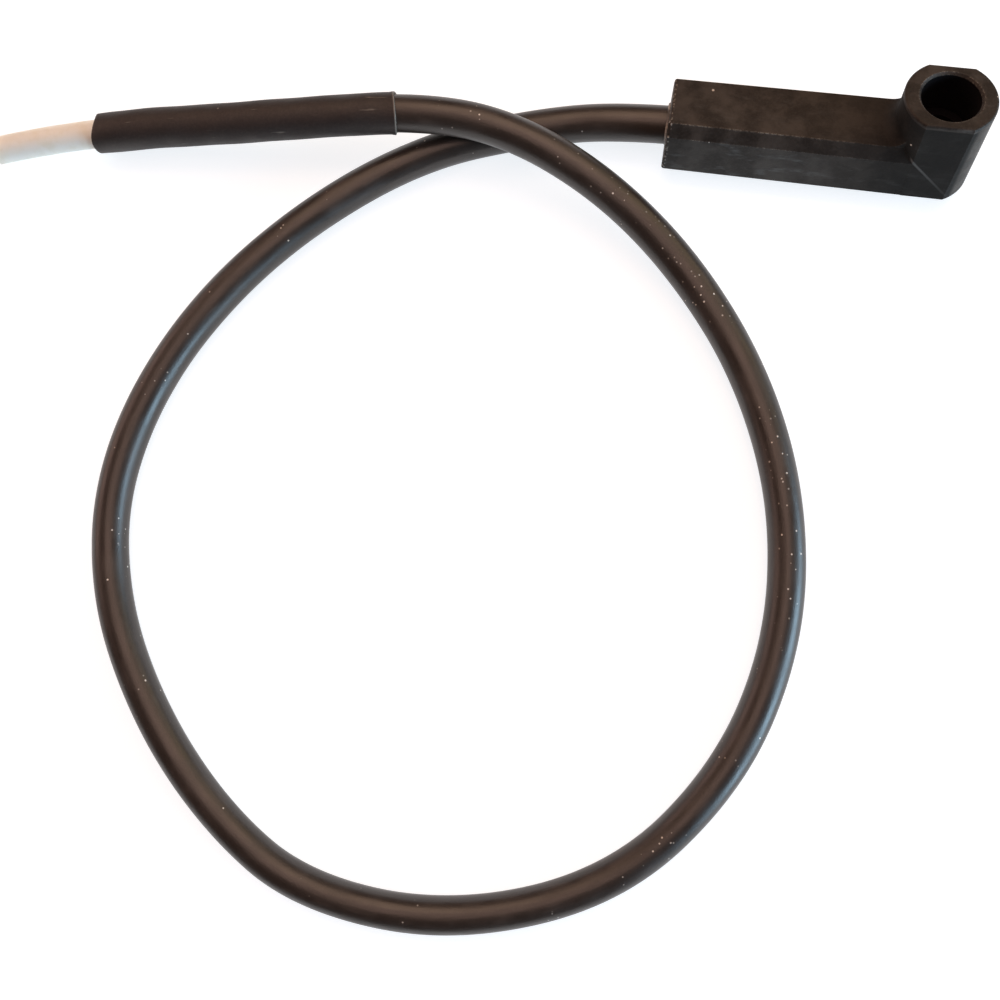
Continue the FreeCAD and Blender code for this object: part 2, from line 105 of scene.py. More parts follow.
class Recipe:
    """A material under construction: short names for the node types that the finishes use."""

    bevel_samples: int = 6
    edge_starts: float = 0.995
    edge_full: float = 0.9

    def __init__(self, name: str) -> None:
        """Starts an empty node tree with a shader and an output.

        Args:
            name: the material's name.
        """
        self.material = bpy.data.materials.new(name)
        self.material.use_nodes = True
        self.tree = self.material.node_tree
        self.tree.nodes.clear()
        self.shader = self.tree.nodes.new("ShaderNodeBsdfPrincipled")
        output = self.tree.nodes.new("ShaderNodeOutputMaterial")
        self.tree.links.new(self.shader.outputs[0], output.inputs["Surface"])
        self.places: dict[Space, Socket] = {}

    def join(self, source: Source, socket: Socket) -> None:
        """Links an output to a socket, or sets the socket when the source is a plain value.

        Args:
            source: an output, or a value.
            socket: the input that it goes to.
        """
        if isinstance(source, Socket):
            self.tree.links.new(source, socket)
        else:
            socket.default_value = source

    def place(self, space: Space) -> Socket:
        """Gives the coordinates of a space.

        Args:
            space: the object's own frame, or the cord's skin as if the cord lay straight.

        Returns:
            The vector output.
        """
        if space not in self.places:
            if space is Space.OBJECT:
                node = self.tree.nodes.new("ShaderNodeTexCoord")
                self.places[space] = node.outputs["Object"]
            else:
                node = self.tree.nodes.new("ShaderNodeAttribute")
                node.attribute_name = space.value
                self.places[space] = node.outputs["Vector"]
        return self.places[space]

    def stretched(self, space: Space, scale: Triple) -> Socket:
        """Coordinates scaled by a different amount on each axis.

        Args:
            space: where the coordinates come from.
            scale: the three factors.

        Returns:
            The scaled vector.
        """
        return self.vectors("MULTIPLY", self.place(space), scale).outputs["Vector"]

    def noise(self, where: Socket, size: float, detail: float = 3.0, rough: float = 0.55) -> Socket:
        """A cloudy pattern.

        Args:
            where: the coordinates.
            size: how wide its patches are, in metres.
            detail: how many finer layers it has.
            rough: how strong those are.

        Returns:
            The pattern, from 0 to 1.
        """
        node = self.tree.nodes.new("ShaderNodeTexNoise")
        self.join(where, node.inputs["Vector"])
        node.inputs["Scale"].default_value = 1.0 / size
        node.inputs["Detail"].default_value = detail
        node.inputs["Roughness"].default_value = rough
        return node.outputs["Fac"]

    def grains(self, where: Socket, size: float) -> Socket:
        """The distance from scattered points, one in each cell.

        Args:
            where: the coordinates.
            size: the cells' width, in metres.

        Returns:
            The distance in cells, 0 at a point.
        """
        node = self.tree.nodes.new("ShaderNodeTexVoronoi")
        self.join(where, node.inputs["Vector"])
        node.inputs["Scale"].default_value = 1.0 / size
        return node.outputs["Distance"]

    def remap(
        self, value: Source, low: float, high: float, to_low: float = 0.0, to_high: float = 1.0
    ) -> Socket:
        """Stretches one range to another, smoothly, and stays within it.

        Args:
            value: the input.
            low: the input that gives to_low.
            high: the input that gives to_high.
            to_low: the first end of the result.
            to_high: the other end of the result.

        Returns:
            The stretched value.
        """
        node = self.tree.nodes.new("ShaderNodeMapRange")
        node.interpolation_type = "SMOOTHSTEP"
        self.join(value, node.inputs["Value"])
        node.inputs["From Min"].default_value = low
        node.inputs["From Max"].default_value = high
        node.inputs["To Min"].default_value = to_low
        node.inputs["To Max"].default_value = to_high
        return node.outputs["Result"]

    def maths(self, operation: str, first: Source, second: Source) -> Socket:
        """One sum on two values.

        Args:
            operation: the Math node's operation.
            first: the first value or output.
            second: the second value or output.

        Returns:
            The result.
        """
        node = self.tree.nodes.new("ShaderNodeMath")
        node.operation = operation
        self.join(first, node.inputs[0])
        self.join(second, node.inputs[1])
        return node.outputs[0]

    def mix(self, share: Source, first: Source, second: Source) -> Socket:
        """Mixes two colours.

        Args:
            share: how much of the second there is.
            first: a colour or an output.
            second: a colour or an output.

        Returns:
            The mixed colour.
        """
        node = self.tree.nodes.new("ShaderNodeMix")
        node.data_type = "RGBA"
        self.join(share, node.inputs[0])
        self.join(self.full(first), node.inputs[6])
        self.join(self.full(second), node.inputs[7])
        return node.outputs[2]

    @staticmethod
    def full(colour: Source) -> Socket | tuple[float, ...]:
        """A colour with its alpha, or an output as it is.

        Args:
            colour: a colour or an output.

        Returns:
            Four numbers, or the output.
        """
        if isinstance(colour, Socket):
            return colour
        return (*colour, 1.0)

    def bump(self, height: Socket, depth: float, below: Socket | None = None) -> Socket:
        """Turns a height into a bumped normal.

        Args:
            height: the pattern.
            depth: its height in metres.
            below: the normal of a coarser bump, or None.

        Returns:
            The normal.
        """
        node = self.tree.nodes.new("ShaderNodeBump")
        node.inputs["Distance"].default_value = depth
        self.join(height, node.inputs["Height"])
        if below is not None:
            self.join(below, node.inputs["Normal"])
        return node.outputs["Normal"]

    def edges(self, radius: float) -> Socket:
        """How much a surface turns within a radius, for wear along edges.

        Args:
            radius: in metres.

        Returns:
            0 on flat surfaces, rising on edges.
        """
        node = self.tree.nodes.new("ShaderNodeBevel")
        node.samples = self.bevel_samples
        node.inputs["Radius"].default_value = radius
        plain = self.tree.nodes.new("ShaderNodeNewGeometry")
        turned = self.vectors("DOT_PRODUCT", node.outputs["Normal"], plain.outputs["Normal"])
        return self.remap(turned.outputs["Value"], self.edge_starts, self.edge_full)

    def vectors(self, operation: str, first: Source, second: Source) -> bpy.types.Node:
        """One sum on two vectors.

        Args:
            operation: the Vector Math node's operation.
            first: the first vector or output.
            second: the second vector or output.

        Returns:
            The node, whose outputs are Vector and Value.
        """
        node = self.tree.nodes.new("ShaderNodeVectorMath")
        node.operation = operation
        self.join(first, node.inputs[0])
        self.join(second, node.inputs[1])
        return node

    def offset(self, space: Space, origin: Triple) -> Socket:
        """The step from an origin, in metres, to a place in the space."""
        return self.vectors("SUBTRACT", self.place(space), origin).outputs["Vector"]

    def length_of(self, vector: Socket) -> Socket:
        """The vector's length, in metres."""
        return self.vectors("LENGTH", vector, NOWHERE).outputs["Value"]

    def along(self, space: Space, origin: Triple, axis: Triple) -> Socket:
        """How far along an axis a place is.

        Args:
            space: where the coordinates come from.
            origin: where the distance is 0, in metres.
            axis: the direction, of length 1.

        Returns:
            The distance in metres.
        """
        return self.vectors("DOT_PRODUCT", self.offset(space, origin), axis).outputs["Value"]

    def from_axis(self, origin: Triple, axis: Triple) -> Socket:
        """How far a place on the object is from a line.

        Args:
            origin: a point on the line, in metres.
            axis: the line's direction, of length 1.

        Returns:
            The distance in metres.
        """
        across = self.vectors("CROSS_PRODUCT", self.offset(Space.OBJECT, origin), axis)
        return self.length_of(across.outputs["Vector"])

    def spot(self, space: Space, middle: Triple, radius: float) -> Socket:
        """One small round mark.

        Args:
            space: where the coordinates come from.
            middle: the mark's middle, in metres.
            radius: its radius, in metres.

        Returns:
            1 in the mark, 0 outside it.
        """
        distance = self.length_of(self.offset(space, middle))
        return self.remap(distance, radius, 0.5 * radius)

    def product(self, *factors: Source) -> Socket:
        """Multiplies values.

        Args:
            *factors: values or outputs, two or more.

        Returns:
            The product of them all.
        """
        made = factors[0]
        for factor in factors[1:]:
            made = self.maths("MULTIPLY", made, factor)
        return made

    def most(self, *values: Source) -> Socket:
        """Picks the greatest value.

        Args:
            *values: values or outputs, two or more.

        Returns:
            The greatest.
        """
        made = values[0]
        for value in values[1:]:
            made = self.maths("MAXIMUM", made, value)
        return made

    def finish(self, colour: Source, roughness: Source, normal: Socket | None = None) -> bpy.types.Material:
        """Joins the colour, roughness and normal to the shader.

        Args:
            colour: a colour or an output.
            roughness: a value or an output.
            normal: an output, or None.

        Returns:
            The finished material.
        """
        self.join(self.full(colour), self.shader.inputs["Base Color"])
        self.join(roughness, self.shader.inputs["Roughness"])
        if normal is not None:
            self.join(normal, self.shader.inputs["Normal"])
        return self.material


class Finish(Protocol):
    """Anything that can make a material."""

    def material(self) -> bpy.types.Material:
        """Builds the material."""


@dataclass(frozen=True)
class JacketSilicone:
    """Brown-black silicone with a dull gloss, dusty streaks and white specks."""

    base: Colour = (0.018, 0.0120, 0.0093)
    dusty: Colour = (0.042, 0.031, 0.026)
    speck: Colour = (0.62, 0.56, 0.50)
    specular: float = 0.62
    roughness: tuple[float, float] = (0.33, 0.43)
    streak_width: float = 1.4 * MM
    cloud_width: float = 7 * MM
    grain_width: float = 0.35 * MM
    cluster_width: float = 8 * MM
    fine_specks_apart: float = 1.3 * MM
    lone_specks_apart: float = 5.2 * MM
    top_height: tuple[float, float] = (2.7 * MM, 3.3 * MM)
    dusty_stretches: tuple[tuple[float, float], ...] = ((0.298, 0.318), (0.352, 0.402), (0.412, 0.466))

    def material(self) -> bpy.types.Material:
        """Builds the material.

        Returns:
            The jacket's material.
        """
        made = Recipe("jacket_silicone")
        skin = made.place(Space.STRAIGHTENED)
        streaks = made.noise(made.stretched(Space.STRAIGHTENED, (0.12, 1.0, 1.0)), self.streak_width, 4.0)
        clouds = made.noise(skin, self.cloud_width)
        grain = made.noise(skin, self.grain_width, 2.0)
        dirt = made.product(made.remap(streaks, 0.42, 0.75), made.remap(clouds, 0.35, 0.7))
        colour = made.mix(dirt, self.base, self.dusty)
        colour = made.mix(made.remap(grain, 0.3, 0.75, 0.0, 0.25), colour, self.dusty)
        colour = made.mix(self.specks(made, skin, clouds), colour, self.speck)
        made.shader.inputs["Specular IOR Level"].default_value = self.specular
        normal = made.bump(streaks, 0.05 * MM)
        normal = made.bump(grain, 0.02 * MM, normal)
        return made.finish(colour, made.remap(clouds, 0.3, 0.7, *self.roughness), normal)

    def specks(self, made: Recipe, skin: Socket, clouds: Socket) -> Socket:
        """White dust that sits in clusters.

        Args:
            made: the material under construction.
            skin: the straightened coordinates.
            clouds: the wide pattern that gathers the specks.

        Returns:
            1 on a speck, 0 elsewhere.
        """
        fine = made.remap(made.grains(skin, self.fine_specks_apart), 0.17, 0.07)
        gathered = made.remap(made.noise(skin, self.cluster_width, 1.0), 0.6, 0.7)
        height = made.along(Space.STRAIGHTENED, NOWHERE, (0.0, 0.0, -1.0))
        on_top = made.remap(height, *self.top_height)
        for start, end in self.dusty_stretches:
            gathered = made.most(gathered, made.product(self.stretch(made, start, end), on_top))
        gathered = made.product(gathered, made.remap(clouds, 0.38, 0.6, 0.2, 1.0))
        lone = made.remap(made.grains(skin, self.lone_specks_apart), 0.045, 0.02)
        lone = made.product(lone, made.remap(clouds, 0.4, 0.5))
        return made.most(made.product(fine, gathered), lone)

    def stretch(self, made: Recipe, start: float, end: float) -> Socket:
        """One stretch of the cable.

        Args:
            made: the material under construction.
            start: where it starts, in metres along the cable.
            end: where it ends.

        Returns:
            1 within the stretch, fading to 0 outside it.
        """
        middle = made.along(Space.STRAIGHTENED, ((start + end) / 2, 0.0, 0.0), ALONG_CABLE)
        half = (end - start) / 2
        return made.remap(made.maths("ABSOLUTE", middle, 0.0), half, 0.7 * half)


@dataclass(frozen=True)
class Bore:
    """A round hole, as the record states it."""

    middle: Triple
    axis: Triple
    radius: float
    length: float

    @classmethod
    def from_record(cls, name: str) -> "Bore":
        """Reads a mount of the record.

        Args:
            name: the mount's name.

        Returns:
            The hole, in metres.
        """
        mount = next(m for m in frame["record"]["mounts"] if m["name"] == name)
        radius = mount["dims"]["r_mm"] * MM
        length = mount["dims"]["length_mm"] * MM
        return cls(tuple(mount["pos_m"]), tuple(mount["axis"]), radius, length)

    @property
    def mouth(self) -> Triple:
        """The middle of the hole's open end."""
        return self.place(self.length / 2)

    def place(self, height: float) -> Triple:
        """A point on the axis, as far above the hole's middle as height says, in metres."""
        return tuple(m + height * a for m, a in zip(self.middle, self.axis))


@dataclass(frozen=True)
class CapMoulding:
    """Satin black moulding: dusty towards the cable, with worn edges, smears and a few specks; painted shade
    in the bore, painted light on the tower's far wall and a painted highlight along the crease.
    """

    bore: Bore
    clean: Colour = (0.005, 0.0042, 0.0036)
    base: Colour = (0.015, 0.0115, 0.0095)
    bloom_dust_and_painted_light: Colour = (0.043, 0.036, 0.031)
    smear: Colour = (0.095, 0.092, 0.088)
    worn: Colour = (0.22, 0.20, 0.175)
    painted_bore_shade: Colour = (0.0022, 0.0012, 0.0020)
    speck: Colour = (0.5, 0.45, 0.4)
    mitre_height: float = 9.03 * MM
    chips: tuple[tuple[Triple, float], ...] = (
        ((-0.0208, 0.0038, 0.0118), 0.3 * MM),
        ((0.0152, -0.0048, 0.0165), 0.25 * MM),
    )
    specular: float = 0.18
    cloud_width: float = 5 * MM
    grain_width: float = 0.4 * MM
    smear_width: float = 2.2 * MM
    specks_apart: float = 6.5 * MM
    crumb_width: float = 0.7 * MM
    worn_edge: float = 0.5 * MM
    frayed_edge: float = 1.2 * MM
    front_distance: tuple[float, float] = (6.6 * MM, 7.1 * MM)

    def material(self) -> bpy.types.Material:
        """Builds the material.

        Returns:
            The cap's material.
        """
        made = Recipe("cap_moulding")
        here = made.place(Space.OBJECT)
        clouds = made.noise(here, self.cloud_width, 4.0, 0.6)
        grain = made.noise(here, self.grain_width, 3.0, 0.6)
        smears = made.noise(made.stretched(Space.OBJECT, (0.35, 1.0, 1.0)), self.smear_width, 4.0, 0.6)
        # Dust, with painted light on the tower's far wall.
        dusty = self.dust_and_painted_light(made)
        inside = self.inside(made)
        colour = self.dusted(made, clouds, grain, dusty)
        colour = made.mix(self.streaks(made, smears, dusty), colour, self.smear)
        # Painted highlight along the crease between the tower's flats and the block's sides.
        colour = made.mix(self.painted_crease_highlight(made), colour, self.smear)
        colour = made.mix(self.wear(made, clouds, grain, dusty), colour, self.worn)
        colour = made.mix(self.specks(made, here), colour, self.speck)
        # Painted shade: the bore is darkened to near black, as the deep hole lies in shade.
        colour = made.mix(inside, colour, self.painted_bore_shade)
        dull = made.remap(dusty, 0.15, 1.0, 0.75, 0.4)
        roughness = made.most(made.remap(smears, 0.3, 0.75, 0.46, 0.6), dull, inside)
        made.shader.inputs["Specular IOR Level"].default_value = self.specular
        normal = made.bump(clouds, 0.05 * MM)
        normal = made.bump(grain, 0.03 * MM, normal)
        return made.finish(colour, roughness, normal)

    def dusted(self, made: Recipe, clouds: Socket, grain: Socket, dusty: Socket) -> Socket:
        """The moulding's own colour under a bloom of dust, which also paints light on the tower's far wall.

        Args:
            made: the material under construction.
            clouds: the wide pattern.
            grain: the fine pattern.
            dusty: the share of dust, with painted light on the tower's far wall.

        Returns:
            The colour.
        """
        colour = made.mix(made.remap(dusty, 0.1, 0.5), self.clean, self.base)
        colour = made.mix(made.product(made.remap(clouds, 0.36, 0.68), dusty), colour, self.bloom_dust_and_painted_light)
        speckled = made.product(made.remap(grain, 0.45, 0.75, 0.0, 0.35), dusty)
        return made.mix(speckled, colour, self.bloom_dust_and_painted_light)

    def streaks(self, made: Recipe, smears: Socket, dusty: Socket) -> Socket:
        """Smears along the block, most of them on its front.

        Args:
            made: the material under construction.
            smears: the drawn-out pattern.
            dusty: the share of dust, with painted light on the tower's far wall.

        Returns:
            The share of smear.
        """
        some = made.product(made.remap(smears, 0.52, 0.74, 0.0, 0.8), dusty)
        return made.product(some, made.remap(self.front(made), 0.0, 1.0, 0.2, 1.0))

    def wear(self, made: Recipe, clouds: Socket, grain: Socket, dusty: Socket) -> Socket:
        """Broken pale lines where edges are rubbed.

        Args:
            made: the material under construction.
            clouds: the wide pattern.
            grain: the fine pattern.
            dusty: the share of dust, with painted light on the tower's far wall.

        Returns:
            The share of wear.
        """
        rubbed = made.product(made.remap(grain, 0.42, 0.62, 0.1, 1.0), dusty)
        rubbed = made.product(made.edges(self.worn_edge), rubbed)
        return made.product(rubbed, made.remap(clouds, 0.35, 0.6, 0.2, 1.0))

    def specks(self, made: Recipe, here: Socket) -> Socket:
        """Scattered specks, the crumbs at the cable's end and the two chips.

        Args:
            made: the material under construction.
            here: the cap's own coordinates.

        Returns:
            1 on a mark, 0 elsewhere.
        """
        scattered = made.remap(made.grains(here, self.specks_apart), 0.03, 0.012)
        chips = [made.spot(Space.OBJECT, middle, radius) for middle, radius in self.chips]
        return made.most(scattered, self.frayed_end(made), *chips)

    def from_end(self, made: Recipe) -> Socket:
        """How far a place on the cap is from the cable's end of it, in metres."""
        low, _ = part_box("cap_body")
        return made.along(Space.OBJECT, (low[0], 0.0, 0.0), ALONG_CAP)

    def dust_and_painted_light(self, made: Recipe) -> Socket:
        """Dust thins out from the cable's end to the tower. The ring round the bore's mouth gets the same
        pale colour and gloss, and so does the tower's far wall, as painted light where the window lights it.

        Args:
            made: the material under construction.

        Returns:
            The share of dust, with the ring and the painted light on the far wall.
        """
        low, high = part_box("cap_body")
        length = high[0] - low[0]
        along = self.from_end(made)
        thinning = made.remap(along, 0.3 * length, 0.84 * length, 1.0, 0.1)
        # Painted light: the tower's far wall is made pale where the window lights it.
        painted_window_light_wall = made.remap(along, 0.93 * length, 0.96 * length)
        rise = made.along(Space.OBJECT, self.bore.mouth, self.bore.axis)
        return made.most(thinning, painted_window_light_wall, made.remap(rise, -0.7 * MM, -0.1 * MM))

    def frayed_end(self, made: Recipe) -> Socket:
        """Pale crumbs along the rim round the cable's end.

        Args:
            made: the material under construction.

        Returns:
            1 on a crumb, 0 elsewhere.
        """
        crumbs = made.remap(made.grains(made.place(Space.OBJECT), self.crumb_width), 0.50, 0.34)
        crumbs = made.product(crumbs, made.edges(self.frayed_edge))
        return made.product(crumbs, made.remap(self.from_end(made), 1.3 * MM, 0.8 * MM))

    def painted_crease_highlight(self, made: Recipe) -> Socket:
        """A painted highlight along the faint crease where the tower's flats meet the block's sides,
        brightest near the inner corner.

        Args:
            made: the material under construction.

        Returns:
            The share of the painted highlight, 0 off the crease.
        """
        foot = self.bore.place(-self.mitre_height)
        rise = made.along(Space.OBJECT, foot, self.bore.axis)
        along = made.along(Space.OBJECT, foot, ALONG_CAP)
        off = made.maths("ABSOLUTE", made.maths("ADD", rise, along), 0.0)
        fade = made.product(made.remap(rise, -5 * MM, 5 * MM, 0.1, 0.8), self.front(made))
        return made.product(made.remap(off, 0.5 * MM, 0.1 * MM), fade)

    def front(self, made: Recipe) -> Socket:
        """The side of the cap that its facet is on.

        Args:
            made: the material under construction.

        Returns:
            1 on that side, 0 elsewhere.
        """
        _, ahead, level = self.bore.axis
        outwards = made.along(Space.OBJECT, self.bore.middle, (0.0, -level, ahead))
        return made.remap(outwards, *self.front_distance)

    def inside(self, made: Recipe) -> Socket:
        """The tower's bore, which gets painted shade, as a deep hole is dark inside.

        Args:
            made: the material under construction.

        Returns:
            1 in the bore, 0 outside it.
        """
        away = made.from_axis(self.bore.middle, self.bore.axis)
        near = made.remap(away, 1.06 * self.bore.radius, self.bore.radius)
        rise = made.along(Space.OBJECT, self.bore.mouth, self.bore.axis)
        return made.product(near, made.remap(rise, 0.3 * MM, -0.3 * MM))


@dataclass(frozen=True)
class ShrinkTubing:
    """Matt black shrink tubing with a fine grain, a few scratches and a painted highlight along the lip at
    its cut end.
    """

    lip: float
    base: Colour = (0.014, 0.0095, 0.0088)
    rubbed: Colour = (0.030, 0.021, 0.019)
    speck: Colour = (0.16, 0.14, 0.12)
    roughness: tuple[float, float] = (0.5, 0.62)
    grain_width: float = 0.45 * MM
    cloud_width: float = 6 * MM
    scratch_width: float = 0.5 * MM
    specks_apart: float = 3.4 * MM

    def material(self) -> bpy.types.Material:
        """Builds the material.

        Returns:
            The sleeve's material.
        """
        made = Recipe("shrink_tubing")
        skin = made.place(Space.STRAIGHTENED)
        grain = made.noise(skin, self.grain_width, 3.0, 0.6)
        clouds = made.noise(skin, self.cloud_width)
        drawn_out = made.stretched(Space.STRAIGHTENED, (0.08, 1.0, 1.0))
        scratches = made.remap(made.noise(drawn_out, self.scratch_width, 2.0), 0.66, 0.78)
        colour = made.mix(made.remap(grain, 0.35, 0.75, 0.0, 0.6), self.base, self.rubbed)
        marks = made.product(scratches, made.remap(clouds, 0.5, 0.65))
        colour = made.mix(marks, colour, self.speck)
        dust = made.remap(made.grains(skin, self.specks_apart), 0.07, 0.03)
        dust = made.product(dust, made.remap(clouds, 0.45, 0.6))
        colour = made.mix(dust, colour, self.speck)
        # Painted highlight: a pale line on the lip at the cut end.
        painted_lip_highlight_distance = made.along(Space.STRAIGHTENED, (self.lip, 0.0, 0.0), ALONG_CABLE)
        colour = made.mix(made.remap(painted_lip_highlight_distance, 0.3 * MM, 0.1 * MM, 0.0, 0.8), colour, self.speck)
        normal = made.bump(clouds, 0.12 * MM)
        normal = made.bump(grain, 0.025 * MM, normal)
        return made.finish(colour, made.remap(clouds, 0.3, 0.7, *self.roughness), normal)


@dataclass(frozen=True)
class PaleSilicone:
    """Cream silicone that light goes a little way into."""

    base: Colour = (0.84, 0.87, 0.82)
    shade: Colour = (0.74, 0.74, 0.62)
    roughness: tuple[float, float] = (0.38, 0.48)
    cloud_width: float = 2.5 * MM
    glow_share: float = 0.4
    glow_colours: Triple = (1.0, 0.95, 0.85)
    glow_depth: float = 1.2 * MM

    def material(self) -> bpy.types.Material:
        """Builds the material.

        Returns:
            The pale tube's material.
        """
        made = Recipe("pale_silicone")
        clouds = made.noise(made.place(Space.STRAIGHTENED), self.cloud_width)
        colour = made.mix(made.remap(clouds, 0.4, 0.75, 0.0, 0.5), self.base, self.shade)
        made.shader.inputs["Subsurface Weight"].default_value = self.glow_share
        made.shader.inputs["Subsurface Radius"].default_value = self.glow_colours
        made.shader.inputs["Subsurface Scale"].default_value = self.glow_depth
        roughness = made.remap(clouds, 0.3, 0.7, *self.roughness)
        return made.finish(colour, roughness, made.bump(clouds, 0.04 * MM))


@dataclass(frozen=True)
class PlainFinish:
    """A simple finish for the pieces inside: a mottled colour, a roughness and a fine grain."""

    name: str
    base: Colour
    stain: Colour
    roughness: tuple[float, float]
    metallic: float = 0.0
    cloud_width: float = 2 * MM
    grain_width: float = 0.4 * MM

    def material(self) -> bpy.types.Material:
        """Builds the material.

        Returns:
            The finish's material.
        """
        made = Recipe(self.name)
        here = made.place(Space.OBJECT)
        clouds = made.noise(here, self.cloud_width)
        grain = made.noise(here, self.grain_width, 2.0)
        colour = made.mix(made.remap(clouds, 0.4, 0.7), self.base, self.stain)
        made.shader.inputs["Metallic"].default_value = self.metallic
        roughness = made.remap(clouds, 0.3, 0.7, *self.roughness)
        return made.finish(colour, roughness, made.bump(grain, 0.01 * MM))


INNER_FINISHES = {
    Slot.BRASS: PlainFinish("turned_brass", (0.72, 0.52, 0.24), (0.5, 0.34, 0.16), (0.22, 0.38), 1.0),
    Slot.STEEL: PlainFinish("spring_steel", (0.6, 0.6, 0.6), (0.42, 0.4, 0.38), (0.25, 0.4), 1.0),
    Slot.CERAMIC: PlainFinish("white_ceramic", (0.78, 0.75, 0.68), (0.68, 0.63, 0.55), (0.5, 0.65)),
    Slot.SEALANT: PlainFinish("entry_sealant", (0.05, 0.042, 0.036), (0.30, 0.26, 0.22), (0.35, 0.5)),
    Slot.BRAID: PlainFinish("glass_braid", (0.8, 0.78, 0.72), (0.7, 0.67, 0.6), (0.6, 0.75)),
    Slot.INSULATION: PlainFinish("pale_insulation", (0.75, 0.72, 0.66), (0.66, 0.62, 0.55), (0.4, 0.5)),
    Slot.COPPER: PlainFinish("copper_strand", (0.75, 0.4, 0.24), (0.5, 0.28, 0.18), (0.25, 0.4), 1.0),
}


# --- the cord's line ---

@dataclass
class Line:
    """A smooth line through space, known by closely spaced points."""

    points: np.ndarray
    along: np.ndarray = field(init=False)
    forward: np.ndarray = field(init=False)
    side: np.ndarray = field(init=False)

    def __post_init__(self) -> None:
        """Works out the distances and a frame that doesn't twist."""
        steps = np.diff(self.points, axis=0)
        self.along = np.concatenate([[0.0], np.cumsum(np.linalg.norm(steps, axis=1))])
        forward = np.gradient(self.points, self.along, axis=0)
        self.forward = forward / np.linalg.norm(forward, axis=1)[:, None]
        side = np.cross(self.forward[0], (0.0, 0.0, 1.0))
        sides = [side / np.linalg.norm(side)]
        for direction in self.forward[1:]:
            side = sides[-1] - direction * (sides[-1] @ direction)
            sides.append(side / np.linalg.norm(side))
        self.side = np.array(sides)

    @property
    def length(self) -> float:
        """The line's length in metres."""
        return float(self.along[-1])

    def until(self, distance: float) -> list[list[float]]:
        """The line's points as far as a distance from its start, in metres."""
        return self.points[self.along <= distance].tolist()

    def at(self, distance: float) -> tuple[np.ndarray, np.ndarray, np.ndarray]:
        """Finds the place and the frame at a distance along the line.

        Args:
            distance: in metres from its start.

        Returns:
            The point, and two directions square to the line.
        """
        def blend(rows: np.ndarray) -> np.ndarray:
            """The rows' value at the distance."""
            return np.array([np.interp(distance, self.along, rows[:, axis]) for axis in range(3)])

        forward = blend(self.forward)
        forward /= np.linalg.norm(forward)
        side = blend(self.side)
        side -= forward * (side @ forward)
        side /= np.linalg.norm(side)
        return blend(self.points), side, np.cross(forward, side)


@dataclass(frozen=True)
class Route:
    """Where the cable lies: the corners of its route in metres, from inside the cap to the far end."""

    corners: tuple[Triple, ...] = (
        (-0.018, -0.0014, 0.00665),
        (-0.0335, -0.0014, 0.00665),
        (-0.0512, -0.0028, 0.0039),
        (-0.0774, -0.0116, 0.0035),
        (-0.103, -0.0328, 0.0035),
        (-0.1196, -0.0575, 0.0035),
        (-0.1265, -0.0833, 0.0035),
        (-0.1225, -0.1068, 0.0035),
        (-0.1104, -0.1276, 0.0035),
        (-0.0944, -0.144, 0.0035),
        (-0.0763, -0.1546, 0.0035),
        (-0.0479, -0.1558, 0.0035),
        (-0.0187, -0.1441, 0.0035),
        (-0.001, -0.1213, 0.0035),
        (0.0058, -0.0959, 0.0035),
        (0.0034, -0.0702, 0.0035),
        (-0.0063, -0.047, 0.0036),
        (-0.0216, -0.0279, 0.005),
        (-0.0391, -0.0149, 0.0088),
        (-0.0587, -0.0069, 0.0112),
        (-0.0775, -0.0059, 0.0112),
        (-0.1038, -0.0098, 0.009),
        (-0.1457, -0.0152, 0.0049),
        (-0.1625, -0.0199, 0.0028),
    )
    points_a_corner: int = 32

    def line(self) -> Line:
        """Reads closely spaced points from a smooth spline with these corners.

        Returns:
            The line that the cable follows.
        """
        curve = bpy.data.curves.new("route", "CURVE")
        curve.dimensions = "3D"
        curve.resolution_u = self.points_a_corner
        spline = curve.splines.new("NURBS")
        spline.points.add(len(self.corners) - 1)
        for point, corner in zip(spline.points, self.corners):
            point.co = (*corner, 1.0)
        spline.order_u = 3
        spline.use_endpoint_u = True
        holder = bpy.data.objects.new("route", curve)
        bpy.context.scene.collection.objects.link(holder)
        bpy.context.view_layer.update()
        mesh = bpy.data.meshes.new_from_object(holder)
        points = np.array([tuple(v.co) for v in mesh.vertices])
        bpy.data.objects.remove(holder)
        bpy.data.meshes.remove(mesh)
        bpy.data.curves.remove(curve)
        return Line(points)


